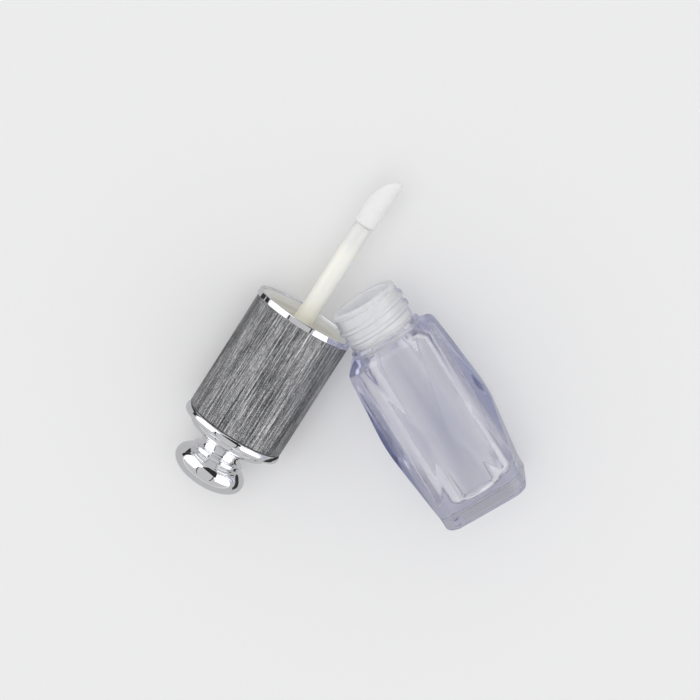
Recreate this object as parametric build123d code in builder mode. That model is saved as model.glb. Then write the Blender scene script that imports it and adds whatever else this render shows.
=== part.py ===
from build123d import *
import math
import os

os.makedirs("parts", exist_ok=True)

# ---------------------------------------------------------------- dimensions
# All in millimetres. "r" is a radius, "z" a height along the bottle's axis
# from its base, "s" a distance along the cap's axis from its mouth towards
# the knob; the wand stands out of the mouth at negative s.

# bottle
plinth_half = 9.6            # half width of the foot, flat to flat
plinth_flat = 7.5            # half length of each flat of the foot
plinth_z = 4.0               # top of the foot, level with the cavity floor
plinth_round = 1.4           # rounding under the foot
bulge_half = 12.42           # half width at the ridge of each face
bulge_ridge = 2.1            # half length of that ridge
bulge_z = 20.6
shoulder_half = 10.1
shoulder_flat = 6.3
shoulder_z = 38.9
dome_half = 9.3              # the shoulder's second, flatter slope
dome_flat = 5.4
dome_z = 39.85
neck_foot_r = 7.9
neck_foot_z = 40.7
neck_bead_r = 8.0
neck_bead_z = (40.9, 41.8)
neck_r = 7.3
neck_z = 49.4
bore_r = 6.4
bore_round = 1.8

# screw thread shared by the neck and the inner cap
thread_pitch = 2.4
neck_crest_r = 7.8
neck_thread_z = (42.75, 48.55)
cap_thread_r = 8.05
cap_crest_r = 7.5
cap_thread_s = (3.2, 8.9)

# wiper plug in the neck
plug_flange_r = 7.25
plug_flange_t = 1.1
plug_r = 6.37
plug_wall = 0.75
plug_bottom = 39.9
orifice_r = 2.35

# cap
ring_r = 11.3                # both trim rings, on which the cap lies
ring_lip_r = 10.55           # mouth ring: thin lip outside, spigot inside
ring_lip_s = 0.95
ring_bore_r = 9.4
mouth_ring_t = 1.4
sleeve_r = 11.0
core_r = 10.6
core_bore_r = 9.95
sleeve_end = 28.4
end_ring_t = 2.0
liner_r = 9.36
liner_lip_r = 10.5           # flared lip of the inner cap, in the mouth ring
liner_mouth = 0.3
liner_roof = (11.15, 13.2)
socket_r = 4.2
socket_bore_r = 2.6
socket_end = 19.0
seal_r = 7.2
seal_bore_r = 2.75
seal_s = (10.1, 11.1)

# knob
dome_r = 9.26
dome_top_r = 5.7
dome_top_s = 32.8
knob_r = 8.06
knob_semi = 3.95
knob_s = 38.6
screw_r = 1.25

# wand
stem_r = 2.05
stem_root_r = 2.45
stem_end = -22.3
tip_end = -33.9
flock_r = 2.45
flock_t = 0.4
tip_round = 1.1
insert_r = 0.98

# where the pieces lie: the bottle rests on the ridge and the foot of one
# face, mouth slightly up; the cap rests on its two rings beside the neck
run = bulge_half - (plinth_half - plinth_round)
climb = bulge_z - plinth_round
lie = math.atan2(climb, run) - math.acos(plinth_round / math.hypot(run, climb))
lie = abs(lie)
lie_height = bulge_half * math.cos(lie) - bulge_z * math.sin(lie)
cap_heading = math.radians(63.5)      # from +Y towards +X
origin_x, origin_y = 16.8667, -8.5236
bottle_y = -24.74
cap_x, cap_y = -12.41, 28.05

up = Vector(0, math.cos(lie), math.sin(lie))
bottle_origin = Vector(origin_x, bottle_y + origin_y, lie_height)
bottle_frame = Plane(origin=bottle_origin, x_dir=(1, 0, 0), z_dir=up)
bottle_profile = Plane(
    origin=bottle_origin, x_dir=(1, 0, 0), z_dir=(0, -math.sin(lie), math.cos(lie))
)
bottle_axis = Axis(bottle_origin, up)

wand_dir = Vector(math.sin(cap_heading), math.cos(cap_heading), 0)
across = Vector(math.cos(cap_heading), -math.sin(cap_heading), 0)
cap_origin = Vector(cap_x + origin_x, cap_y + origin_y, ring_r)
cap_frame = Plane(origin=cap_origin, x_dir=across, z_dir=-wand_dir)
cap_profile = Plane(origin=cap_origin, x_dir=across, z_dir=(0, 0, -1))
cap_axis = Axis(cap_origin, -wand_dir)


def ring_of(points):
    """Eight corners made of one corner and its mirror on each of four faces."""
    turned = []
    for x, y, z in points:
        for sign in (1, -1):
            a, b = x, sign * y
            for _ in range(4):
                turned.append((a, b, z))
                a, b = -b, a
    return turned


# ---------------------------------------------------------------- bottle
foot_corners = [
    (plinth_half, -plinth_flat), (plinth_half, plinth_flat),
    (plinth_flat, plinth_half), (-plinth_flat, plinth_half),
    (-plinth_half, plinth_flat), (-plinth_half, -plinth_flat),
    (-plinth_flat, -plinth_half), (plinth_flat, -plinth_half),
]
body_corners = ring_of(
    [
        (plinth_half, plinth_flat, plinth_z),
        (bulge_half, bulge_ridge, bulge_z),
        (shoulder_half, shoulder_flat, shoulder_z),
        (dome_half, dome_flat, dome_z),
    ]
)
body_corners += [
    (
        neck_foot_r * math.cos(math.radians(11.25 + 22.5 * i)),
        neck_foot_r * math.sin(math.radians(11.25 + 22.5 * i)),
        neck_foot_z,
    )
    for i in range(16)
]

with BuildPart(bottle_frame) as bottle_body:
    # foot with a rounded underside
    with BuildSketch(bottle_frame):
        Polygon(*foot_corners, align=None)
    extrude(amount=plinth_z)
    fillet(
        bottle_body.faces().sort_by(bottle_axis)[0].edges(), radius=plinth_round
    )
    # body: each face a shallow hip roof with its ridge at the bulge
    ConvexPolyhedron(body_corners)
    # neck
    with BuildSketch(bottle_profile):
        with BuildLine():
            Polyline(
                (0, neck_foot_z - 1.5),
                (neck_foot_r - 0.15, neck_foot_z - 1.5),
                (neck_foot_r - 0.15, neck_bead_z[0]),
                (neck_bead_r, neck_bead_z[0] + 0.2),
                (neck_bead_r, neck_bead_z[1] - 0.3),
                (neck_r, neck_bead_z[1] + 0.15),
                (neck_r, neck_z),
                (0, neck_z),
                close=True,
            )
        make_face()
    revolve(axis=bottle_axis)
    # screw thread
    with BuildLine() as neck_helix:
        Helix(
            pitch=thread_pitch,
            height=neck_thread_z[1] - neck_thread_z[0],
            radius=neck_r,
            center=bottle_origin + up * neck_thread_z[0],
            direction=up,
        )
    start = neck_helix.line @ 0
    out = (start - (bottle_origin + up * neck_thread_z[0])).normalized()
    with BuildSketch(Plane(origin=start, x_dir=out, z_dir=neck_helix.line % 0)):
        Polygon(
            (-0.35, -0.78), (neck_crest_r - neck_r, -0.3),
            (neck_crest_r - neck_r, 0.3), (-0.35, 0.78), align=None,
        )
    sweep(path=neck_helix.line, is_frenet=True)
    # round cavity, open at the neck
    with BuildSketch(bottle_profile):
        with BuildLine():
            Polyline(
                (0, neck_z + 5), (0, plinth_z), (bore_r - bore_round, plinth_z)
            )
            RadiusArc(
                (bore_r - bore_round, plinth_z),
                (bore_r, plinth_z + bore_round),
                -bore_round,
            )
            Polyline((bore_r, plinth_z + bore_round), (bore_r, neck_z + 5), (0, neck_z + 5))
        make_face()
    revolve(axis=bottle_axis, mode=Mode.SUBTRACT)

# wiper plug: flange on the neck, sleeve down the bore, cone to the orifice
with BuildPart() as wiper_plug:
    with BuildSketch(bottle_profile):
        with BuildLine():
            Polyline(
                (plug_flange_r, neck_z),
                (plug_flange_r, neck_z + plug_flange_t - 0.25),
                (plug_flange_r - 0.25, neck_z + plug_flange_t),
                (plug_r - plug_wall + 0.2, neck_z + plug_flange_t),
                (plug_r - plug_wall, neck_z + plug_flange_t - 0.2),
                (plug_r - plug_wall, plug_bottom + 3.2),
                (orifice_r, plug_bottom + 1.0),
                (orifice_r, plug_bottom),
                (orifice_r + 0.7, plug_bottom),
                (plug_r, plug_bottom + 2.6),
                (plug_r, neck_z),
                close=True,
            )
        make_face()
    revolve(axis=bottle_axis)

# ---------------------------------------------------------------- cap shell
with BuildPart() as mouth_ring:
    with BuildSketch(cap_profile):
        with BuildLine():
            Polyline(
                (ring_lip_r, 0.1), (ring_lip_r + 0.1, 0), (ring_r - 0.2, 0),
                (ring_r, 0.2), (ring_r, mouth_ring_t - 0.2),
                (ring_r - 0.2, mouth_ring_t), (core_bore_r - 0.02, mouth_ring_t),
                (core_bore_r - 0.02, 4.4), (ring_bore_r, 4.4),
                (ring_bore_r, ring_lip_s), (ring_lip_r, ring_lip_s), close=True,
            )
        make_face()
    revolve(axis=cap_axis)

with BuildPart() as outer_sleeve:
    with BuildSketch(cap_profile):
        with BuildLine():
            Polyline(
                (core_r + 0.02, mouth_ring_t), (sleeve_r, mouth_ring_t),
                (sleeve_r, sleeve_end), (core_r + 0.02, sleeve_end), close=True,
            )
        make_face()
    revolve(axis=cap_axis)

with BuildPart() as core_tube:
    with BuildSketch(cap_profile):
        with BuildLine():
            Polyline(
                (core_bore_r, mouth_ring_t), (core_r, mouth_ring_t),
                (core_r, sleeve_end), (3.2, sleeve_end), (3.2, sleeve_end - 1.2),
                (core_bore_r, sleeve_end - 1.2), close=True,
            )
        make_face()
    revolve(axis=cap_axis)

with BuildPart() as end_ring:
    with BuildSketch(cap_profile):
        with BuildLine():
            Line((9.3, sleeve_end), (ring_r - 0.85, sleeve_end))
            RadiusArc(
                (ring_r - 0.85, sleeve_end), (ring_r, sleeve_end + 0.85), -0.85
            )
            Line(
                (ring_r, sleeve_end + 0.85), (ring_r, sleeve_end + end_ring_t - 0.85)
            )
            RadiusArc(
                (ring_r, sleeve_end + end_ring_t - 0.85),
                (ring_r - 0.85, sleeve_end + end_ring_t),
                -0.85,
            )
            Polyline(
                (ring_r - 0.85, sleeve_end + end_ring_t),
                (9.3, sleeve_end + end_ring_t), (9.3, sleeve_end),
            )
        make_face()
    revolve(axis=cap_axis)

# inner cap: threaded bell with a roof and a socket that holds the stem
with BuildPart() as inner_cap:
    with BuildSketch(cap_profile):
        with BuildLine():
            Polyline(
                (9.2, liner_mouth + 0.05), (liner_lip_r - 0.2, liner_mouth),
                (liner_lip_r, liner_mouth + 0.1),
                (liner_lip_r, ring_lip_s - 0.03), (liner_r, ring_lip_s - 0.03),
                (liner_r, liner_roof[1]),
                (core_bore_r - 0.02, liner_roof[1]),
                (core_bore_r - 0.02, liner_roof[1] + 1.0),
                (socket_r + 0.6, liner_roof[1] + 1.0),
                (socket_r, liner_roof[1] + 1.6), (socket_r, socket_end),
                (socket_bore_r, socket_end), (socket_bore_r, liner_roof[0]),
                (cap_thread_r, liner_roof[0]), (cap_thread_r, 2.5), (8.35, 2.1),
                (8.4, 1.35), close=True,
            )
        make_face()
    revolve(axis=cap_axis)
    with BuildLine() as cap_helix:
        Helix(
            pitch=thread_pitch,
            height=cap_thread_s[1] - cap_thread_s[0],
            radius=cap_thread_r,
            center=cap_origin - wand_dir * cap_thread_s[0],
            direction=-wand_dir,
        )
    start = cap_helix.line @ 0
    out = (start - (cap_origin - wand_dir * cap_thread_s[0])).normalized()
    with BuildSketch(Plane(origin=start, x_dir=out, z_dir=cap_helix.line % 0)):
        Polygon(
            (0.3, -0.55), (0.3, 0.55), (cap_crest_r - cap_thread_r, 0.22),
            (cap_crest_r - cap_thread_r, -0.22), align=None,
        )
    sweep(path=cap_helix.line, is_frenet=True)

# sealing washer under the roof of the inner cap
with BuildPart() as seal_washer:
    with BuildSketch(cap_frame.offset(seal_s[0])):
        Circle(seal_r)
        Circle(seal_bore_r, mode=Mode.SUBTRACT)
    extrude(amount=seal_s[1] - seal_s[0])

# ---------------------------------------------------------------- knob end
with BuildPart() as shoulder_dome:
    with BuildSketch(cap_profile):
        with BuildLine():
            Line((8.2, sleeve_end), (dome_r, sleeve_end))
            Line((dome_r, sleeve_end), (dome_r, 30.6))
            ThreePointArc((dome_r, 30.6), (8.35, 31.85), (6.5, 32.3))
            Polyline(
                (6.5, 32.3), (6.5, 32.55), (dome_top_r, 32.6),
                (dome_top_r, dome_top_s), (screw_r + 0.1, dome_top_s),
                (screw_r + 0.1, 31.1), (6.6, 31.1),
            )
            Polyline((6.6, 31.1), (8.2, 30.2), (8.2, sleeve_end))
        make_face()
    revolve(axis=cap_axis)

with BuildPart() as knob:
    with BuildSketch(cap_profile):
        with BuildLine():
            Spline(
                (screw_r + 0.02, knob_s - knob_semi),
                (5.8, knob_s - 0.72 * knob_semi),
                (knob_r, knob_s),
                (5.8, knob_s + 0.72 * knob_semi),
                (0, knob_s + knob_semi),
                tangents=((1, 0), (-1, 0)),
            )
            # blind hole for the screw
            Polyline(
                (0, knob_s + knob_semi), (0, 40.9), (screw_r + 0.02, 40.9),
                (screw_r + 0.02, knob_s - knob_semi),
            )
        make_face()
    revolve(axis=cap_axis)

with BuildPart() as knob_collar:
    with BuildSketch(cap_profile):
        with BuildLine():
            Polyline(
                (screw_r + 0.1, dome_top_s), (5.15, dome_top_s), (5.15, 33.1),
                (4.85, 33.2), (4.85, 33.55), (4.62, 33.65), (4.62, 33.95),
            )
            ThreePointArc((4.62, 33.95), (4.85, 34.6), (5.55, 34.95))
            Polyline(
                (5.55, 34.95), (5.8, 35.15), (5.8, 35.7), (5.6, 35.85),
                (screw_r + 0.1, 35.85), (screw_r + 0.1, dome_top_s),
            )
        make_face()
    revolve(axis=cap_axis)
    # the ball sits in a dish in the collar's end
    add(knob.part, mode=Mode.SUBTRACT)

with BuildPart() as knob_screw:
    with BuildSketch(cap_profile):
        with BuildLine():
            Polyline(
                (0.7, 29.2), (2.3, 29.2), (2.5, 29.4), (2.5, 31.1),
                (screw_r, 31.1), (screw_r, 40.4), (screw_r - 0.35, 40.8),
                (0, 40.8), (0, 30.1), (0.7, 30.1), close=True,
            )
        make_face()
    revolve(axis=cap_axis)

# ---------------------------------------------------------------- wand
with BuildPart() as applicator_stem:
    with BuildSketch(cap_profile):
        with BuildLine():
            Polyline(
                (0, socket_end + 1.2), (2.9, socket_end + 1.2),
                (3.2, socket_end + 0.9), (3.2, socket_end + 0.05),
                (socket_bore_r - 0.05, socket_end + 0.05),
                (socket_bore_r - 0.05, liner_roof[0] + 0.05),
                (stem_root_r, liner_roof[0] - 0.2), (stem_root_r, 5.0),
                (stem_r, -1.5), (stem_r - 0.08, stem_end + 0.1),
                (stem_r - 0.18, stem_end), (insert_r + 0.02, stem_end),
                (insert_r + 0.02, stem_end + 5.2), (0, stem_end + 5.2),
                close=True,
            )
        make_face()
    revolve(axis=cap_axis)

# slanted pad: a round bar cut off obliquely along a swelling curve
slant_curve = (
    (-2.63, -25.4), (-2.45, -27.0), (-2.14, -28.7), (-1.70, -29.95), (-1.18, -31.0),
    (-0.50, -32.1), (0.46, -33.12), (1.75, tip_end - 0.06),
)


def slant_cutter(inset):
    """Everything on the open side of the swelling cut, moved inwards by inset."""
    first, last = slant_curve[0], slant_curve[-1]
    with BuildPart() as cutter:
        with BuildSketch(cap_profile.offset(-4)):
            with BuildLine():
                Spline(*[(x + inset, s + inset * 0.45) for x, s in slant_curve])
                Polyline(
                    (last[0] + inset, last[1] + inset * 0.45), (last[0] + inset, tip_end - 2),
                    (-4, tip_end - 2), (-4, first[1] + inset * 0.45),
                    (first[0] + inset, first[1] + inset * 0.45),
                )
            make_face()
        extrude(amount=8)
    return cutter.part


core_cut = slant_cutter(0.5)
pad_cut = slant_cutter(0)

with BuildPart() as tip_core:
    with BuildSketch(cap_profile):
        with BuildLine():
            Polyline(
                (0, stem_end + 5.0), (insert_r - 0.2, stem_end + 5.0),
                (insert_r, stem_end + 4.7), (insert_r, stem_end),
                (flock_r - flock_t, stem_end), (flock_r - flock_t, tip_end + 0.9),
                (0, tip_end + 0.9), close=True,
            )
        make_face()
    revolve(axis=cap_axis)
    add(core_cut, mode=Mode.SUBTRACT)

with BuildPart() as flocked_tip:
    with BuildSketch(cap_profile):
        with BuildLine():
            Polyline(
                (0, tip_end), (0, stem_end), (flock_r - 0.25, stem_end),
                (flock_r, stem_end - 0.35), (flock_r, tip_end + tip_round),
            )
            RadiusArc(
                (flock_r, tip_end + tip_round), (flock_r - tip_round, tip_end),
                tip_round,
            )
            Line((flock_r - tip_round, tip_end), (0, tip_end))
        make_face()
    revolve(axis=cap_axis)
    add(pad_cut, mode=Mode.SUBTRACT)
    slant_face = flocked_tip.faces().filter_by(GeomType.EXTRUSION)[0]
    fillet(slant_face.edges(), radius=0.35)
    add(tip_core.part, mode=Mode.SUBTRACT)

# ---------------------------------------------------------------- output
bottle_body.part.label = "bottle_body"
wiper_plug.part.label = "wiper_plug"
mouth_ring.part.label = "mouth_ring"
outer_sleeve.part.label = "outer_sleeve"
core_tube.part.label = "core_tube"
end_ring.part.label = "end_ring"
inner_cap.part.label = "inner_cap"
seal_washer.part.label = "seal_washer"
shoulder_dome.part.label = "shoulder_dome"
knob_collar.part.label = "knob_collar"
knob.part.label = "knob"
knob_screw.part.label = "knob_screw"
applicator_stem.part.label = "applicator_stem"
tip_core.part.label = "tip_core"
flocked_tip.part.label = "flocked_tip"

export_step(bottle_body.part, "parts/bottle_body.step")
export_step(wiper_plug.part, "parts/wiper_plug.step")
export_step(mouth_ring.part, "parts/mouth_ring.step")
export_step(outer_sleeve.part, "parts/outer_sleeve.step")
export_step(core_tube.part, "parts/core_tube.step")
export_step(end_ring.part, "parts/end_ring.step")
export_step(inner_cap.part, "parts/inner_cap.step")
export_step(seal_washer.part, "parts/seal_washer.step")
export_step(shoulder_dome.part, "parts/shoulder_dome.step")
export_step(knob_collar.part, "parts/knob_collar.step")
export_step(knob.part, "parts/knob.step")
export_step(knob_screw.part, "parts/knob_screw.step")
export_step(applicator_stem.part, "parts/applicator_stem.step")
export_step(tip_core.part, "parts/tip_core.step")
export_step(flocked_tip.part, "parts/flocked_tip.step")
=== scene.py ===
import bpy, bmesh, math
import numpy as np
from mathutils import Matrix, Vector


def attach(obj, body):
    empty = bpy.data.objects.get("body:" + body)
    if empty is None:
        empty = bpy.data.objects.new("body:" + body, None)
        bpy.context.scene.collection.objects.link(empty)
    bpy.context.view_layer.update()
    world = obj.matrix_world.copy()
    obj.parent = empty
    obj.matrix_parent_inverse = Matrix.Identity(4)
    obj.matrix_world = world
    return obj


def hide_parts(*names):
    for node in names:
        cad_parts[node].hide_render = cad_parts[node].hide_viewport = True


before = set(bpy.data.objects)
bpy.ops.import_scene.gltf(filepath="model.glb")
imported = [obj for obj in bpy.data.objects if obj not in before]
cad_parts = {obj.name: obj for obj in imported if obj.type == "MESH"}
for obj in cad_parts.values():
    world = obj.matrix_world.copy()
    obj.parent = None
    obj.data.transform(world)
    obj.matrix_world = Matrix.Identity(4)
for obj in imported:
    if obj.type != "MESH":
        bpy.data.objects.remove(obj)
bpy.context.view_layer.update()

MM = 0.001
TAU = 2 * math.pi

# ------------------------------------------------------------------ frames
# Both objects in the shared frame, in millimetres: origin, two cross axes and
# the axis along which a profile's second number runs.
LIE = math.radians(8.31215)
BOTTLE_O = np.array([16.8667, -33.2636, 9.311468])
BOTTLE_UP = np.array([0.0, math.cos(LIE), math.sin(LIE)])
BOTTLE = (BOTTLE_O, np.array([1.0, 0.0, 0.0]),
          np.array([0.0, math.sin(LIE), -math.cos(LIE)]), BOTTLE_UP)
HEAD = math.radians(63.5)
WAND = np.array([math.sin(HEAD), math.cos(HEAD), 0.0])
ACROSS = np.array([math.cos(HEAD), -math.sin(HEAD), 0.0])
CAP_O = np.array([4.4567, 19.5264, 11.3])
CAP = (CAP_O, ACROSS, np.cross(-WAND, ACROSS), -WAND)

# ------------------------------------------------------------------ mesh kit


def make_piece(name, verts, faces, body, nodes, slot, material):
    """A closed mesh in the shared frame that rides on a body and stands for CAD nodes."""
    me = bpy.data.meshes.new(name)
    me.from_pydata([tuple(v) for v in verts], [], faces)
    bm = bmesh.new()
    bm.from_mesh(me)
    bmesh.ops.remove_doubles(bm, verts=bm.verts, dist=1e-8)
    bmesh.ops.recalc_face_normals(bm, faces=bm.faces)
    if bm.calc_volume(signed=True) < 0:
        bmesh.ops.reverse_faces(bm, faces=bm.faces)
    bm.to_mesh(me)
    bm.free()
    for p in me.polygons:
        p.use_smooth = True
    me.materials.append(material)
    ob = bpy.data.objects.new(name, me)
    bpy.context.scene.collection.objects.link(ob)
    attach(ob, body)
    if nodes:
        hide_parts(*nodes)
    return ob


def place(fr, ca, sa, r, s):
    """Points in metres from cross directions, radii and heights."""
    o, e1, e2, e3 = fr
    p = (o + r[..., None] * (ca[..., None] * e1 + sa[..., None] * e2)
         + s[..., None] * e3)
    return p * MM


def grid_mesh(fr, rad, hei, closed, centre=None):
    """Faces for rings of vertices: rad and hei are rows by columns.

    A row whose radii are all nearly zero becomes one pole. closed joins the
    last row to the first. centre moves each row sideways along e1."""
    rows, cols = rad.shape
    th = np.arange(cols) * TAU / cols
    ca, sa = np.cos(th)[None, :] + 0 * rad, np.sin(th)[None, :] + 0 * rad
    pts = place(fr, ca, sa, rad, hei)
    if centre is not None:
        pts = pts + (centre[:, None, None] * fr[1][None, None, :]) * MM
    verts, first, pole = [], [], []
    for i in range(rows):
        first.append(len(verts))
        if np.all(rad[i] < 1e-6):
            verts.append(pts[i, 0])
            pole.append(True)
        else:
            verts.extend(pts[i])
            pole.append(False)
    faces = []
    for i in range(rows if closed else rows - 1):
        j = (i + 1) % rows
        a, b = first[i], first[j]
        for c in range(cols):
            n = (c + 1) % cols
            if pole[i] and pole[j]:
                continue
            if pole[i]:
                faces.append((a, b + c, b + n))
            elif pole[j]:
                faces.append((a + c, a + n, b))
            else:
                faces.append((a + c, a + n, b + n, b + c))
    return verts, faces


def rounded(points, closed=True, seg=4):
    """A profile with rounded corners. Each point is (r, s) or (r, s, radius).

    Straight runs get a holding point beside each corner so that flats stay
    flat in smooth shading."""
    n = len(points)
    P = [np.array(p[:2], float) for p in points]
    R = [(p[2] if len(p) > 2 else 0.0) for p in points]
    out = []
    for i in range(n):
        p, rr = P[i], R[i]
        if not closed and i in (0, n - 1):
            out.append(p)
            continue
        a, b = P[i - 1], P[(i + 1) % n]
        u, v = a - p, b - p
        lu, lv = np.linalg.norm(u), np.linalg.norm(v)
        u, v = u / lu, v / lv
        cosang = float(np.clip(np.dot(u, v), -1, 1))
        ang = math.acos(cosang)
        if rr <= 0 or ang > math.radians(176):
            out.append(p)
            continue
        t = rr / math.tan(ang / 2)
        t = min(t, 0.44 * lu, 0.44 * lv)
        rr = t * math.tan(ang / 2)
        mid = (u + v) / np.linalg.norm(u + v)
        c = p + mid * (rr / math.sin(ang / 2))
        p0, p1 = p + u * t, p + v * t
        hold = min(0.06, 0.2 * (lu - t), 0.2 * (lv - t))
        out.append(p0 + u * hold)
        a0 = math.atan2(*(p0 - c)[::-1])
        a1 = math.atan2(*(p1 - c)[::-1])
        da = (a1 - a0 + math.pi) % TAU - math.pi
        for k in range(seg + 1):
            w = a0 + da * k / seg
            out.append(c + rr * np.array([math.cos(w), math.sin(w)]))
        out.append(p1 + v * hold)
    keep = [out[0]]
    for q in out[1:]:
        if np.linalg.norm(q - keep[-1]) > 1e-4:
            keep.append(q)
    if closed and np.linalg.norm(keep[0] - keep[-1]) < 1e-4:
        keep.pop()
    return np.array(keep)


def split_runs(prof, longest, closed=True):
    """Adds points so that no run of a profile is longer than this."""
    out = []
    n = len(prof)
    for i in range(n if closed else n - 1):
        a, b = prof[i], prof[(i + 1) % n]
        k = max(1, int(math.ceil(np.linalg.norm(b - a) / longest)))
        for j in range(k):
            out.append(a + (b - a) * j / k)
    if not closed:
        out.append(prof[-1])
    return np.array(out)


def turned(prof, cols, bend=None):
    """Rows by columns from a profile; bend(r, s, theta) may change the radii."""
    th = np.arange(cols) * TAU / cols
    rad = prof[:, 0][:, None] + 0 * th[None, :]
    hei = prof[:, 1][:, None] + 0 * th[None, :]
    if bend is not None:
        rad = bend(rad, hei, th[None, :] + 0 * rad)
    return rad, hei


def smoothstep(x):
    x = np.clip(x, 0, 1)
    return x * x * (3 - 2 * x)


def soft_min(stack, k):
    lo = stack.min(axis=0)
    return lo - k * np.log(np.exp(-(stack - lo) / k).sum(axis=0))


def helix_ridge(s, th, start, end, pitch, root_half, crest_half, fade):
    """0 to 1 height of a screw ridge whose centre climbs from start to end."""
    base = start + pitch * th / TAU
    turn = np.round((s - base) / pitch)
    centre = base + pitch * turn
    off = np.abs(s - centre)
    shape = 1 - smoothstep((off - crest_half * 0.75) / (root_half * 1.15 - crest_half * 0.75))
    ends = smoothstep((centre - start) / fade) * smoothstep((end - centre) / fade)
    inside = (centre >= start) & (centre <= end)
    return np.where(inside, shape * ends, 0.0)


def wave(p, freq, seed):
    """Smooth repeatable noise from summed sines, -1 to 1, for mesh detail."""
    rng = np.random.default_rng(seed)
    tot = np.zeros(p.shape[:-1])
    for _ in range(14):
        d = rng.normal(size=3)
        d /= np.linalg.norm(d)
        tot += np.sin((p @ d) * freq * rng.uniform(0.6, 1.6) + rng.uniform(0, TAU))
    return tot / 5.0


# ------------------------------------------------------------------ materials


class Nodes:
    """A short way to write a node material."""

    def __init__(self, name):
        self.mat = bpy.data.materials.new(name)
        self.mat.use_nodes = True
        self.t = self.mat.node_tree
        self.t.nodes.clear()
        self.out = self.t.nodes.new("ShaderNodeOutputMaterial")
        self.bsdf = self.t.nodes.new("ShaderNodeBsdfPrincipled")
        self.t.links.new(self.bsdf.outputs[0], self.out.inputs[0])

    def node(self, kind, **props):
        n = self.t.nodes.new(kind)
        for k, v in props.items():
            setattr(n, k, v)
        return n

    def link(self, a, b):
        self.t.links.new(a, b)

    def set(self, **values):
        for k, v in values.items():
            key = k.replace("_", " ")
            sock = self.bsdf.inputs[key]
            sock.default_value = v
        return self

    def coords(self, scale=(1, 1, 1), origin=None, turn=(0, 0, 0)):
        """Object coordinates in millimetres, from an origin, turned and scaled."""
        tc = self.node("ShaderNodeTexCoord")
        m = self.node("ShaderNodeMapping", vector_type="TEXTURE")
        o = (0, 0, 0) if origin is None else [float(x) * MM for x in origin]
        m.inputs["Location"].default_value = o
        m.inputs["Rotation"].default_value = turn
        m.inputs["Scale"].default_value = (MM, MM, MM)
        self.link(tc.outputs["Object"], m.inputs["Vector"])
        if tuple(scale) == (1, 1, 1):
            return m.outputs[0]
        s = self.node("ShaderNodeMapping")
        s.inputs["Scale"].default_value = scale
        self.link(m.outputs[0], s.inputs["Vector"])
        return s.outputs[0]

    def noise(self, vec, scale, detail=3.0, rough=0.5, distort=0.0):
        n = self.node("ShaderNodeTexNoise")
        n.inputs["Scale"].default_value = scale
        n.inputs["Detail"].default_value = detail
        n.inputs["Roughness"].default_value = rough
        n.inputs["Distortion"].default_value = distort
        self.link(vec, n.inputs["Vector"])
        return n.outputs["Fac"]

    def ramp(self, fac, stops):
        r = self.node("ShaderNodeValToRGB")
        el = r.color_ramp.elements
        while len(el) > 1:
            el.remove(el[-1])
        el[0].position, el[0].color = stops[0][0], stops[0][1]
        for pos, col in stops[1:]:
            e = el.new(pos)
            e.color = col
        self.link(fac, r.inputs["Fac"])
        return r.outputs["Color"]

    def span(self, fac, lo, hi, a=0.0, b=1.0):
        m = self.node("ShaderNodeMapRange")
        m.inputs["From Min"].default_value = a
        m.inputs["From Max"].default_value = b
        m.inputs["To Min"].default_value = lo
        m.inputs["To Max"].default_value = hi
        self.link(fac, m.inputs["Value"])
        return m.outputs["Result"]

    def mixf(self, op, a, b):
        m = self.node("ShaderNodeMath", operation=op)
        for i, x in enumerate((a, b)):
            if isinstance(x, (int, float)):
                m.inputs[i].default_value = x
            else:
                self.link(x, m.inputs[i])
        return m.outputs[0]

    def bump(self, height, dist, strength=1.0):
        b = self.node("ShaderNodeBump")
        b.inputs["Strength"].default_value = strength
        b.inputs["Distance"].default_value = dist
        self.link(height, b.inputs["Height"])
        self.link(b.outputs[0], self.bsdf.inputs["Normal"])
        return b

    def lit_through(self, r, g_, b):
        """Lamps shine through the wall instead of casting a solid shadow."""
        clear = self.node("ShaderNodeBsdfTransparent")
        clear.inputs["Color"].default_value = (r, g_, b, 1)
        path = self.node("ShaderNodeLightPath")
        mix = self.node("ShaderNodeMixShader")
        self.link(path.outputs["Is Shadow Ray"], mix.inputs[0])
        self.link(self.bsdf.outputs[0], mix.inputs[1])
        self.link(clear.outputs[0], mix.inputs[2])
        self.link(mix.outputs[0], self.out.inputs["Surface"])


def g(v, a=1.0):
    return (v, v, v, a)


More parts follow.
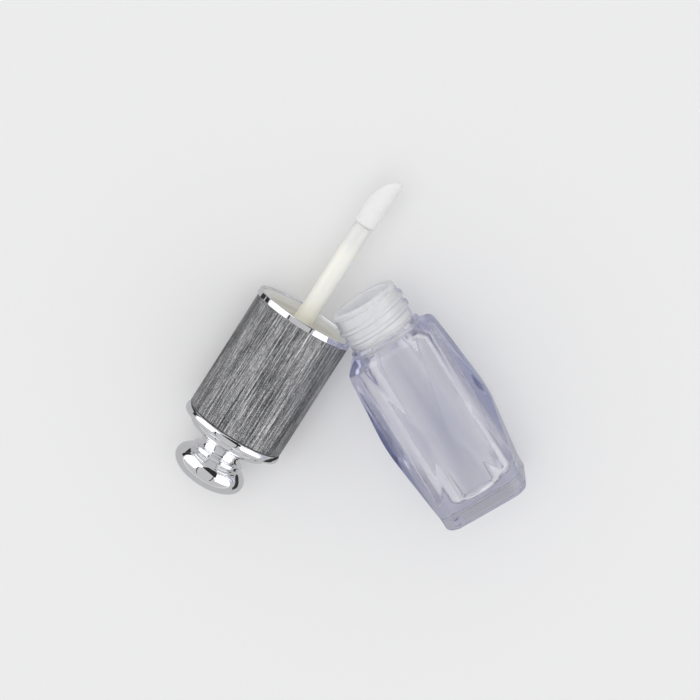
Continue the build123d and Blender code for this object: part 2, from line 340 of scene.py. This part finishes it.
def mat_clear():
    m = Nodes("clear_plastic_look")
    m.set(Metallic=0.0, IOR=1.47)
    v = m.coords()
    # height along the bottle: the neck is moulded milkier than the body
    up = m.coords(origin=BOTTLE_O, turn=(LIE, 0, 0))
    sep = m.node("ShaderNodeSeparateXYZ")
    m.link(up, sep.inputs[0])
    cloud = m.noise(v, 0.22, 2.0, 0.5)
    high = m.mixf("ADD", sep.outputs["Y"], m.span(cloud, -0.5, 0.5))
    m.link(m.span(high, 0.93, 0.60, 41.6, 43.4), m.bsdf.inputs["Transmission Weight"])
    # the volume below darkens thick plastic; on top of that the base colour is painted blue-violet towards the outline,
    # a painted fringe standing in for the coloured light seen at the edges
    rim = m.node("ShaderNodeLayerWeight")
    rim.inputs["Blend"].default_value = 0.35
    # and most of all at the swelling at mid-height, where the painted fringe of coloured light is strongest
    wide = m.node("ShaderNodeMath", operation="ABSOLUTE")
    deep = m.node("ShaderNodeMath", operation="ABSOLUTE")
    m.link(sep.outputs["X"], wide.inputs[0])
    m.link(sep.outputs["Z"], deep.inputs[0])
    painted_swell_fringe = m.span(m.mixf("MAXIMUM", wide.outputs[0], deep.outputs[0]), 0.0, 0.34, 9.9, 11.4)
    painted_fringe_tint = m.ramp(m.mixf("ADD", rim.outputs["Facing"], painted_swell_fringe), [(0.0, (0.955, 0.953, 0.948, 1)), (0.40, (0.945, 0.945, 0.952, 1)),
                                          (0.75, (0.70, 0.74, 0.945, 1)), (1.0, (0.42, 0.475, 0.85, 1))])
    # painted coloured light at the outline and swell goes into the base colour
    m.link(painted_fringe_tint, m.bsdf.inputs["Base Color"])
    flow = m.noise(v, 0.16, 2.0, 0.4, 0.6)
    fine = m.noise(v, 1.4, 3.0, 0.5)
    m.link(m.mixf("ADD", m.span(fine, 0.05, 0.10, 0.35, 0.75), m.span(high, 0.0, 0.16, 41.6, 43.4)),
           m.bsdf.inputs["Roughness"])
    m.bump(m.mixf("ADD", flow, m.mixf("MULTIPLY", fine, 0.04)), 0.00012, 0.5)
    va = m.node("ShaderNodeVolumeAbsorption")
    va.inputs["Color"].default_value = (0.24, 0.26, 0.54, 1)
    va.inputs["Density"].default_value = 23.0
    m.link(va.outputs[0], m.out.inputs["Volume"])
    m.lit_through(0.90, 0.90, 0.92)
    return m.mat


def mat_milky():
    m = Nodes("milky_plastic_look")
    m.set(Metallic=0.0, IOR=1.45)
    v = m.coords()
    cloud = m.noise(v, 0.35, 3.0, 0.55)
    m.link(m.ramp(cloud, [(0.3, (0.955, 0.96, 0.985, 1)), (0.7, (0.985, 0.988, 1.0, 1))]),
           m.bsdf.inputs["Base Color"])
    m.bsdf.inputs["Transmission Weight"].default_value = 0.36
    m.bsdf.inputs["Subsurface Weight"].default_value = 0.8
    m.bsdf.inputs["Subsurface Radius"].default_value = (1.0, 1.0, 1.0)
    m.bsdf.inputs["Subsurface Scale"].default_value = 0.0045
    m.link(m.span(m.noise(v, 2.2, 2.0), 0.42, 0.55), m.bsdf.inputs["Roughness"])
    m.bump(m.noise(v, 3.0, 2.0), 0.00001, 0.5)
    m.lit_through(0.86, 0.87, 0.90)
    return m.mat


def mat_chrome():
    m = Nodes("chrome_plating_look")
    m.set(Metallic=1.0, IOR=2.9)
    v = m.coords()
    haze = m.noise(v, 0.5, 4.0, 0.6)
    m.link(m.ramp(haze, [(0.3, (0.90, 0.905, 0.92, 1)), (0.7, (0.95, 0.95, 0.96, 1))]),
           m.bsdf.inputs["Base Color"])
    m.link(m.span(haze, 0.02, 0.055, 0.35, 0.75), m.bsdf.inputs["Roughness"])
    m.bump(m.noise(v, 0.45, 1.0, 0.3), 0.00001, 0.35)
    return m.mat


def mat_foil():
    m = Nodes("brushed_foil_look")
    m.set(IOR=1.5)
    turn = (0, 0, math.radians(90) - HEAD)     # local x runs along the cap
    # long streaks: slow along the cap, fast round it
    streak = m.noise(m.coords((0.05, 2.7, 2.7), CAP_O, turn), 1.0, 2.0, 0.6)
    fine = m.noise(m.coords((0.075, 4.9, 4.9), CAP_O, turn), 1.0, 2.0, 0.75)
    broad = m.noise(m.coords((0.045, 0.40, 0.40), CAP_O, turn), 1.0, 2.0, 0.5)
    # short flecks and the sparkle of single threads
    weave = m.noise(m.coords((0.55, 6.5, 6.5), CAP_O, turn), 1.0, 1.0, 0.7)
    grain = m.noise(m.coords((4.2, 6.0, 6.0), CAP_O, turn), 1.0, 1.0, 0.8)
    s = m.mixf("ADD", m.mixf("MULTIPLY", streak, 0.28), m.mixf("MULTIPLY", fine, 0.50))
    s = m.mixf("ADD", s, m.mixf("MULTIPLY", broad, 0.16))
    s = m.mixf("ADD", s, m.mixf("MULTIPLY", weave, 0.28))
    s = m.mixf("ADD", s, m.mixf("MULTIPLY", grain, 0.44))
    tone = m.span(s, 0.0, 1.0, 0.675, 0.960)
    col = m.ramp(tone, [
        (0.0, (0.020, 0.020, 0.022, 1)),
        (0.28, (0.084, 0.085, 0.090, 1)),
        (0.52, (0.202, 0.203, 0.210, 1)),
        (0.78, (0.40, 0.40, 0.405, 1)),
        (1.0, (0.72, 0.715, 0.71, 1)),
    ])
    m.link(col, m.bsdf.inputs["Base Color"])
    m.bsdf.inputs["Metallic"].default_value = 0.45
    m.link(m.span(s, 0.34, 0.50, 0.6, 1.0), m.bsdf.inputs["Roughness"])
    m.bump(tone, 0.00004, 0.9)
    return m.mat


def mat_ivory():
    m = Nodes("ivory_plastic_look")
    m.set(Metallic=0.0, IOR=1.49)
    v = m.coords()
    cloud = m.noise(v, 0.3, 3.0, 0.5)
    # painted shade: darker and yellower inside the cap, standing in for the shade in its recess, paler out along the
    # stem
    along = m.node("ShaderNodeSeparateXYZ")
    m.link(m.coords(origin=CAP_O, turn=(0, 0, math.radians(90) - HEAD)), along.inputs[0])
    fac = m.mixf("ADD", m.mixf("MULTIPLY", cloud, 0.22), m.span(along.outputs["X"], 0.78, 0.0, -7.0, 5.0))
    m.link(m.ramp(fac, [(0.04, (0.965, 0.943, 0.855, 1)), (0.20, (0.978, 0.956, 0.868, 1)),
                        (1.0, (0.84, 0.795, 0.68, 1))]), m.bsdf.inputs["Base Color"])
    m.bsdf.inputs["Subsurface Weight"].default_value = 0.8
    m.bsdf.inputs["Subsurface Radius"].default_value = (1.0, 0.95, 0.8)
    m.bsdf.inputs["Subsurface Scale"].default_value = 0.0024
    m.link(m.span(m.noise(v, 1.8, 2.0), 0.26, 0.38), m.bsdf.inputs["Roughness"])
    m.bump(m.noise(v, 2.5, 2.0), 0.00001, 0.4)
    return m.mat


def mat_flock():
    m = Nodes("flock_look")
    m.set(Metallic=0.0, IOR=1.4)
    v = m.coords()
    fib = m.noise(v, 9.0, 4.0, 0.75)
    m.link(m.ramp(fib, [(0.25, (0.83, 0.83, 0.82, 1)), (0.6, (0.94, 0.94, 0.94, 1))]),
           m.bsdf.inputs["Base Color"])
    m.bsdf.inputs["Roughness"].default_value = 0.95
    m.bsdf.inputs["Sheen Weight"].default_value = 0.35
    m.bsdf.inputs["Sheen Roughness"].default_value = 0.5
    m.bsdf.inputs["Subsurface Weight"].default_value = 0.25
    m.bsdf.inputs["Subsurface Radius"].default_value = (1.0, 1.0, 1.0)
    m.bsdf.inputs["Subsurface Scale"].default_value = 0.0008
    m.bump(fib, 0.00008, 0.9)
    return m.mat


def mat_plain(name, a, b, rough=(0.4, 0.55), metallic=0.0, scale=0.6, bump=0.00002):
    m = Nodes(name)
    m.set(Metallic=metallic, IOR=1.5)
    v = m.coords()
    n = m.noise(v, scale, 4.0, 0.6)
    m.link(m.ramp(n, [(0.3, a), (0.7, b)]), m.bsdf.inputs["Base Color"])
    m.link(m.span(n, rough[0], rough[1]), m.bsdf.inputs["Roughness"])
    m.bump(m.noise(v, scale * 5, 3.0), bump, 0.5)
    return m.mat


CLEAR = mat_clear()
MILKY = mat_milky()
CHROME = mat_chrome()
FOIL = mat_foil()
IVORY = mat_ivory()
FLOCK = mat_flock()
FOAM = mat_plain("foam_look", (0.78, 0.77, 0.74, 1), (0.9, 0.89, 0.86, 1), (0.85, 0.95), 0, 4.0, 0.00006)
GREY = mat_plain("grey_core_look", (0.22, 0.22, 0.235, 1), (0.27, 0.27, 0.285, 1), (0.4, 0.55))
STEEL = mat_plain("screw_steel_look", (0.48, 0.48, 0.49, 1), (0.6, 0.6, 0.6, 1), (0.25, 0.4), 1.0, 1.2)
ELASTO = mat_plain("elastomer_look", (0.84, 0.84, 0.82, 1), (0.9, 0.9, 0.88, 1), (0.45, 0.6))

# ------------------------------------------------------------------ bottle


def bottle_planes():
    """Face planes of the body: a shallow hip roof on each side, from its corners."""
    corners = []
    for x, y, z in ((9.6, 7.5, 4.0), (12.42, 2.1, 20.6), (10.1, 6.3, 38.9), (9.3, 5.4, 39.85)):
        for sy in (1, -1):
            a, b = x, sy * y
            for _ in range(4):
                corners.append((a, b, z))
                a, b = -b, a
    for i in range(16):
        w = math.radians(11.25 + 22.5 * i)
        corners.append((7.9 * math.cos(w), 7.9 * math.sin(w), 40.7))
    bm = bmesh.new()
    for c in corners:
        bm.verts.new(c)
    bmesh.ops.convex_hull(bm, input=bm.verts)
    planes = []
    for f in bm.faces:
        n = np.array(f.normal)
        if abs(n[2]) > 0.97:
            continue
        d = float(n @ np.array(f.verts[0].co))
        if not any(np.allclose(n, q[0], atol=2e-3) and abs(d - q[1]) < 2e-2 for q in planes):
            planes.append((n, d))
    bm.free()
    return planes


def bottle_mesh():
    cols = 480
    th = np.arange(cols) * TAU / cols
    c, s = np.cos(th), np.sin(th)
    planes = bottle_planes()

    def body_r(z):
        # moulded edges, softer round the shoulder
        k = 0.085 + 0.05 * float(smoothstep(np.array((z - 35.5) / 3.5))) \
            + 0.16 * math.exp(-((z - 20.6) / 2.4) ** 2)
        stack = []
        for n, d in planes:
            den = n[0] * c + n[1] * s
            r = np.where(den > 1e-3, (d - n[2] * z) / np.maximum(den, 1e-3), 1e3)
            stack.append(np.minimum(r, 60.0))
        return soft_min(np.array(stack), k)

    def foot_r(inset):
        stack = []
        for k in range(8):
            w = math.radians(45 * k)
            d = (9.6 if k % 2 == 0 else 17.1 / math.sqrt(2)) - inset
            den = math.cos(w) * c + math.sin(w) * s
            stack.append(np.where(den > 1e-3, d / np.maximum(den, 1e-3), 1e3))
        return soft_min(np.minimum(np.array(stack), 60.0), 0.30)

    rad, hei = [], []

    def row(r, z):
        rad.append(np.zeros(cols) + r)
        hei.append(np.full(cols, float(z)))

    # underside, slightly dished, and its rounding
    edge = foot_r(1.4)
    for t in (0.0, 0.12, 0.3, 0.5, 0.7, 0.84, 0.93, 0.985):
        row(edge * t, 0.35 * smoothstep(np.array((0.86 - t) / 0.12)) if t > 0 else 0.35)
    for k in range(0, 15):
        a = math.radians(90 * k / 14)
        row(foot_r(1.4 * (1 - math.sin(a))), 1.4 * (1 - math.cos(a)))
    for z in np.arange(1.6, 3.7, 0.3):
        row(foot_r(0.0), z)
    for z in np.arange(3.75, 4.3, 0.07):
        w = float(smoothstep(np.array((z - 3.78) / 0.5)))
        row(foot_r(0.0) * (1 - w) + body_r(max(z, 4.0)) * w, z)
    for z in np.arange(4.4, 38.35, 0.17):
        row(body_r(z), z)
    for z in np.arange(38.4, 40.66, 0.05):
        row(body_r(z), z)
    row(np.minimum(body_r(40.7), 7.9), 40.7)
    # neck with its bead, thread and rim, then down the bore to the floor
    prof = rounded([
        (7.78, 40.72), (7.75, 40.92, 0.05), (8.0, 41.1, 0.12), (8.0, 41.55, 0.2),
        (7.3, 41.98, 0.16), (7.3, 49.4, 0.2), (6.4, 49.4, 0.12), (6.4, 4.0, 1.8),
        (0.0, 4.0),
    ], closed=False, seg=9)
    fine = []
    for i in range(len(prof) - 1):
        a, b = prof[i], prof[i + 1]
        run = np.linalg.norm(b - a)
        step = 0.075 if (a[0] > 7.2 and b[0] > 7.2 and run > 1.0) else (
            0.6 if run > 1.0 else 9.0)
        k = max(1, int(math.ceil(run / step)))
        for j in range(k):
            fine.append(a + (b - a) * j / k)
    fine.append(prof[-1])
    for p in fine:
        r = np.full(cols, p[0])
        if p[0] > 7.25 and 42.0 < p[1] < 49.15:
            r = r + 0.5 * helix_ridge(np.full(cols, p[1]), th, 42.75, 48.55, 2.4, 0.6, 0.3, 0.5)
        row(r, p[1])
    verts, faces = grid_mesh(BOTTLE, np.array(rad), np.array(hei), closed=False)
    return verts, faces


make_piece("bottle_shell", *bottle_mesh(), "bottle", ["bottle_body"], "clear_plastic", CLEAR)

# wiper: flange, sleeve, cone and orifice
wiper = rounded([
    (7.24, 49.41, 0.05), (7.24, 50.5, 0.3), (5.66, 50.5, 0.3), (5.62, 43.1, 1.2),
    (2.35, 40.9, 0.25), (2.35, 39.9, 0.15), (3.05, 39.9, 0.2), (6.38, 42.5, 0.8),
    (6.38, 49.41, 0.04),
], seg=6)
make_piece("wiper", *grid_mesh(BOTTLE, *turned(split_runs(wiper, 0.8), 192), closed=True),
           "bottle", ["wiper_plug"], "milky_plastic", MILKY)

# ------------------------------------------------------------------ cap
ring = rounded([
    (10.55, 0.0, 0.12), (11.3, 0.0, 0.24), (11.3, 1.4, 0.2), (9.93, 1.4, 0.04),
    (9.93, 4.4, 0.1), (9.4, 4.4, 0.08), (9.4, 0.95, 0.04), (10.55, 0.95, 0.04),
], seg=7)
make_piece("mouth_trim", *grid_mesh(CAP, *turned(ring, 320), closed=True),
           "cap", ["mouth_ring"], "chrome_plating", CHROME)


def sleeve_bend(r, s, th):
    """The foil's fine lengthwise ribs, a few microns deep, on the outside only."""
    out = r > 10.9
    ribs = (np.sin(th * 173 + 0.9 * np.sin(s * 0.21 + th * 3)) * 0.5
            + np.sin(th * 97 + 1.7 + 0.7 * np.sin(s * 0.33)) * 0.5)
    return np.where(out, r - 0.012 + 0.012 * ribs, r)


sleeve = rounded([
    (10.62, 1.43, 0.02), (11.0, 1.43, 0.07), (11.0, 28.32, 0.07), (10.62, 28.32, 0.02),
], seg=4)
make_piece("foil_sleeve",
           *grid_mesh(CAP, *turned(split_runs(sleeve, 0.9), 720, sleeve_bend), closed=True),
           "cap", ["outer_sleeve"], "brushed_foil", FOIL)

end = rounded([
    (9.32, 28.42, 0.1), (11.3, 28.42, 0.86), (11.3, 30.38, 0.86), (9.32, 30.38, 0.12),
], seg=10)
make_piece("end_trim", *grid_mesh(CAP, *turned(end, 320), closed=True),
           "cap", ["end_ring"], "chrome_plating", CHROME)

# shoulder dome
arc = []
for k in range(15):
    a = math.radians(90 * k / 14)
    arc.append((6.5 + (9.26 - 6.5) * math.cos(a) ** 0.92 if k < 14 else 6.5,
                30.6 + 1.7 * math.sin(a) ** 1.0))
dome_prof = [(8.2, 28.45), (9.2, 28.45), (9.26, 28.6)] + arc + [
    (6.5, 32.42), (6.42, 32.54), (5.85, 32.6), (5.72, 32.66), (5.68, 32.79), (1.36, 32.79),
    (1.36, 31.11), (6.6, 31.11), (8.2, 30.2)]
make_piece("shoulder", *grid_mesh(CAP, *turned(split_runs(np.array(dome_prof), 1.2), 320), closed=True),
           "cap", ["shoulder_dome"], "chrome_plating", CHROME)

# collar with its steps, flaring to the disc that carries the knob
flare = []
for k in range(11):
    a = math.radians(90 * k / 10)
    flare.append((5.55 - 0.93 * math.cos(a), 33.98 + 0.95 * math.sin(a)))
collar_prof = rounded(
    [(1.36, 32.81, 0.02), (5.15, 32.81, 0.05), (5.15, 33.12, 0.08), (4.87, 33.2, 0.05),
     (4.87, 33.55, 0.07), (4.62, 33.64, 0.05)]
    + [(a, b) for a, b in flare]
    + [(5.8, 35.12, 0.1), (5.8, 35.72, 0.1), (5.62, 35.82, 0.04), (4.9, 35.42, 0.05), (1.36, 34.5, 0.02)],
    seg=4)
make_piece("collar", *grid_mesh(CAP, *turned(collar_prof, 256), closed=True),
           "cap", ["knob_collar"], "chrome_plating", CHROME)

# knob: a flattened ball, a little fuller than an ellipse
ball = [(1.27, 40.9), (1.27, 34.72)]
for k in range(1, 60):
    a = math.radians(-90 + 180 * k / 60)
    n = 2 / 2.11
    r = 8.055 * abs(math.cos(a)) ** n
    z = 38.6 + 3.94 * math.copysign(abs(math.sin(a)) ** n, math.sin(a))
    if r > 1.9 or a > 0:
        ball.append((r, z))
ball.append((0.0, 42.54))
make_piece("knob_ball",
           *grid_mesh(CAP, *turned(np.array([(0.0, 40.9)] + ball), 320), closed=False),
           "cap", ["knob"], "chrome_plating", CHROME)


# inner cap with its thread
def liner_bend(r, s, th):
    inner = np.abs(r - 8.05) < 1e-3
    ridge = helix_ridge(s, -th, 3.2, 8.9, 2.4, 0.5, 0.22, 0.5)
    return np.where(inner, r - 0.55 * ridge, r)


liner = rounded([
    (9.15, 0.36, 0.25), (10.49, 0.3, 0.12), (10.49, 0.91, 0.04), (9.35, 0.91, 0.04),
    (9.35, 13.2, 0.05), (9.9, 13.2, 0.05), (9.9, 14.2, 0.1),
    (4.8, 14.2, 0.3), (4.2, 14.8, 0.3), (4.2, 19.0, 0.1), (2.6, 19.0, 0.05), (2.6, 11.16, 0.05),
    (8.05, 11.16, 0.15), (8.05, 2.45, 0.1), (8.35, 2.1, 0.15), (8.42, 1.35, 0.25),
], seg=4)
rows = []
for i in range(len(liner)):
    a, b = liner[i], liner[(i + 1) % len(liner)]
    run = np.linalg.norm(b - a)
    k = int(math.ceil(run / 0.1)) if (abs(a[0] - 8.05) < 1e-3 and abs(b[0] - 8.05) < 1e-3 and run > 2) \
        else max(1, int(math.ceil(run / 1.2)))
    rows += [a + (b - a) * j / k for j in range(k)]
make_piece("liner", *grid_mesh(CAP, *turned(np.array(rows), 240, liner_bend), closed=True),
           "cap", ["inner_cap"], "ivory_plastic", IVORY)

# foam washer with rounded edges
wash = rounded([(2.75, 10.12, 0.15), (7.2, 10.12, 0.25), (7.2, 11.08, 0.25), (2.75, 11.08, 0.15)], seg=4)
make_piece("foam_washer", *grid_mesh(CAP, *turned(split_runs(wash, 0.5), 128), closed=True),
           "seal", ["seal_washer"], "foam_rubber", FOAM)

# ------------------------------------------------------------------ wand
stem = rounded([
    (0.0, 20.2), (2.9, 20.2, 0.1), (3.2, 19.9, 0.1), (3.2, 19.07, 0.1), (2.54, 19.07, 0.05),
    (2.54, 11.22, 0.1), (2.45, 10.9, 0.15), (2.45, 5.0, 2.0), (2.05, -1.5, 2.0), (1.98, -22.15, 0.1),
    (1.87, -22.29, 0.05), (1.0, -22.29, 0.05), (1.0, -17.15, 0.05), (0.0, -17.15),
], closed=False, seg=5)
make_piece("stem", *grid_mesh(CAP, *turned(split_runs(stem, 1.0, closed=False), 128), closed=False),
           "wand", ["applicator_stem"], "ivory_plastic", IVORY)


CUT_S = (26.4, 27.2, 28.1, 28.95, 29.9, 31.0, 32.1, 32.65, 33.14, 33.62, 33.9)
CUT_X = (-2.47, -2.44, -2.27, -2.06, -1.72, -1.18, -0.50, -0.06, 0.48, 1.20, 1.70)


def tip_mesh():
    """The flocked pad: a round bar cut off obliquely, rounded, with a fine fuzz on its surface for the fibres."""
    cols = 168
    th = np.arange(cols) * TAU / cols
    c, s = np.cos(th), np.sin(th)
    R = 2.45
    rad, hei, cen = [], [], []
    # closed shoulder beside the stem
    for r, z in ((0.0, -22.33), (0.6, -22.33), (1.3, -22.33), (1.9, -22.34)):
        rad.append(np.full(cols, r)); hei.append(np.full(cols, z)); cen.append(0.0)
    for k in range(1, 9):
        a = math.radians(90 * k / 8)
        rad.append(np.full(cols, 2.0 + (R - 2.0) * math.sin(a)))
        hei.append(np.full(cols, -22.34 - 0.45 * (1 - math.cos(a))))
        cen.append(0.0)
    zs = list(np.arange(-23.0, -27.0, -0.16)) + list(np.arange(-27.0, -33.12, -0.085)) \
        + [-33.9 + 0.8 * (1 - math.sin(math.radians(w))) for w in np.linspace(2, 90, 30)]
    for z in zs:
        # the cut swells slightly and eases into the round bar
        lo_soft = float(np.interp(-z, CUT_S, CUT_X))
        end = 1.0
        if z < -33.1:
            end = math.sqrt(max(0.0, 1 - ((-33.1 - z) / 0.8) ** 2))
        hi_x = R - 0.8 * (1 - end)
        rc = R - 0.8 * (1 - end)
        xm = (max(lo_soft, -rc) + hi_x) / 2
        # distance to the round outline from the shifted centre
        b = xm * c
        r_round = -b + np.sqrt(np.maximum(b * b - (xm * xm - rc * rc), 1e-9))
        r_cut = np.where(-c > 1e-3, (xm - lo_soft) / np.maximum(-c, 1e-3), 1e3)
        r = soft_min(np.array([r_round, np.minimum(r_cut, 50.0)]), 0.10)
        rad.append(np.maximum(r, 0.02)); hei.append(np.full(cols, z)); cen.append(xm)
    rad, hei, cen = np.array(rad), np.array(hei), np.array(cen)
    pts = np.stack([rad * c + cen[:, None], rad * s, hei], axis=-1)
    fuzz = 0.022 * wave(pts, 9.0, 3) + 0.016 * wave(pts, 21.0, 5) + 0.010 * wave(pts, 38.0, 7)
    amount = smoothstep((rad - 1.0) / 0.6)
    rad = np.maximum(rad + (fuzz - 0.03) * amount, 0.0)
    rad = np.vstack([rad, np.zeros(cols)])
    hei = np.vstack([hei, np.full(cols, -33.9)])
    cen = np.append(cen, cen[-1])
    return grid_mesh(CAP, rad, hei, closed=False, centre=cen)


make_piece("flock_pad", *tip_mesh(), "cap", ["flocked_tip"], "flock", FLOCK)

# hidden parts keep their CAD shape
for node, mat in (("core_tube", GREY), ("knob_screw", STEEL), ("tip_core", ELASTO)):
    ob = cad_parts[node]
    ob.data.materials.clear()
    ob.data.materials.append(mat)

# ------------------------------------------------------------------ studio


def card(name, corners, strength):
    """A studio flag or grey card that only mirror reflections see."""
    me = bpy.data.meshes.new(name)
    me.from_pydata([tuple(float(x) * MM for x in c) for c in corners], [],
                   [tuple(range(len(corners)))])
    mt = bpy.data.materials.new(name + "_paint")
    mt.use_nodes = True
    t = mt.node_tree
    t.nodes.clear()
    o = t.nodes.new("ShaderNodeOutputMaterial")
    e = t.nodes.new("ShaderNodeEmission")
    e.inputs["Color"].default_value = (0.98, 0.98, 1.0, 1)
    e.inputs["Strength"].default_value = strength
    t.links.new(e.outputs[0], o.inputs[0])
    mt.cycles.emission_sampling = "NONE"
    me.materials.append(mt)
    ob = bpy.data.objects.new(name, me)
    bpy.context.scene.collection.objects.link(ob)
    ob.visible_camera = False
    ob.visible_diffuse = False
    ob.visible_transmission = False
    ob.visible_volume_scatter = False
    ob.visible_shadow = False
    return ob


def from_cap(side, along, z):
    """A studio point: to the cap's right, along its wand, and a height, in mm."""
    q = CAP_O + ACROSS * side + WAND * along
    return (q[0], q[1], z)


# dark flags beside the knob and barrel, thin dark edges overhead
card("flag_left", [from_cap(-86, -45, 0.6), from_cap(-86, 40, 0.6),
                   from_cap(-86, 40, 19), from_cap(-86, -45, 19)], 0.03)
card("strip_left", [from_cap(a, b, 0.4) for a, b in (
    (-12, -25.2), (-18.5, -21.6), (-25.3, -18.7), (-42.6, -13), (-85, -9), (-85, 32),
    (-20.5, -13.1), (-12, -19.0))], 0.04)
card("strip_right", [from_cap(a, b, 0.4) for a, b in (
    (12, -28.5), (18.5, -28.2), (25.1, -32), (29.3, -41.8), (42, -56), (70, -50),
    (48.4, -24.8), (29.4, -18.6), (16.8, -21.9), (12, -24.6))], 0.04)
for nm, sg in (("edge_right", 1), ("edge_left", -1)):
    card(nm, [from_cap(sg * 136, -420, 300), from_cap(sg * 136, 60, 300),
              from_cap(sg * 156, 60, 300), from_cap(sg * 156, -420, 300)], 0.04)
card("flag_end", [from_cap(-94, 154, 288), from_cap(70, 301, 46), from_cap(190, 5, 300)], 0.03)
card("ceiling_card", [(-15000, -15000, 1500), (-15000, 15000, 1500), (15000, 15000, 1500), (15000, -15000, 1500)], 0.56)
# the floor is grey in mirror reflections
card("floor_card", [(-2900, -2900, 0.3), (2900, -2900, 0.3), (2900, 2900, 0.3), (-2900, 2900, 0.3)], 0.50)

# pale floor
me = bpy.data.meshes.new("floor")
me.from_pydata([(-3, -3, 0), (3, -3, 0), (3, 3, 0), (-3, 3, 0)], [], [(0, 1, 2, 3)])
fl = Nodes("floor_paint")
fl.set(Base_Color=(0.875, 0.875, 0.878, 1), Roughness=0.7)
fl.bsdf.inputs["Specular IOR Level"].default_value = 0.2
me.materials.append(fl.mat)
floor = bpy.data.objects.new("floor", me)
bpy.context.scene.collection.objects.link(floor)

world = bpy.data.worlds.new("studio")
bpy.context.scene.world = world
world.use_nodes = True
bg = world.node_tree.nodes["Background"]
bg.inputs["Color"].default_value = (0.995, 0.997, 1.0, 1)
bg.inputs["Strength"].default_value = 0.76

MID = np.array([0.0, 0.0, 0.015])


def direction(azimuth, elevation):
    a, e = math.radians(azimuth), math.radians(elevation)
    return np.array([math.cos(e) * math.cos(a), math.cos(e) * math.sin(a), math.sin(e)])


def softbox(name, azimuth, elevation, dist, width, height, radiance, seen=True):
    """A large soft area light that faces the object: a strip seen in reflections, or fill."""
    d = direction(azimuth, elevation)
    li = bpy.data.lights.new(name, "AREA")
    li.shape = "RECTANGLE"
    li.size, li.size_y = width, height
    li.energy = radiance * math.pi * width * height
    li.color = (1.0, 1.0, 1.0)
    ob = bpy.data.objects.new(name, li)
    bpy.context.scene.collection.objects.link(ob)
    z = Vector(d)
    x = Vector((0, 0, 1)).cross(z).normalized() if elevation < 89 else Vector((1, 0, 0))
    y = z.cross(x)
    m = Matrix((x, y, z)).transposed().to_4x4()
    m.translation = Vector(MID + d * dist)
    ob.matrix_world = m
    ob.visible_camera = False
    ob.visible_glossy = seen
    ob.visible_diffuse = not seen
    ob.visible_transmission = seen
    return ob


A_AZ = math.degrees(math.atan2(ACROSS[1], ACROSS[0]))
softbox("softbox_right", A_AZ + 18, 32, 0.75, 1.00, 0.80, 1.12)
softbox("softbox_left", A_AZ + 180 - 18, 33, 0.75, 1.00, 0.80, 1.12)
softbox("fill_top", 0, 90, 1.1, 0.9, 0.9, 1.20, seen=False)

# ------------------------------------------------------------------ camera
cam = bpy.data.cameras.new("camera")
cam.sensor_width = 36.0
cam.lens = 2784.094 * 36.0 / 700.0
cam.clip_start, cam.clip_end = 0.01, 20.0
co = bpy.data.objects.new("camera", cam)
bpy.context.scene.collection.objects.link(co)
right = Vector((0.8518774, -0.5130013, -0.1055205))
upv = Vector((0.5012988, 0.8569997, -0.1193781))
back = Vector((0.1516722, 0.0487982, 0.9872256))
m = Matrix((right, upv, back)).transposed().to_4x4()
m.translation = Vector((0.09642290, 0.03697014, 0.58412586))
co.matrix_world = m
bpy.context.scene.camera = co

# clear plastic is crossed many times before a ray gets out
cy = bpy.context.scene.cycles
cy.max_bounces = 40
cy.transmission_bounces = 40
cy.glossy_bounces = 16

vs = bpy.context.scene.view_settings
vs.view_transform = "Standard"
vs.look = "None"
vs.exposure = 0.0
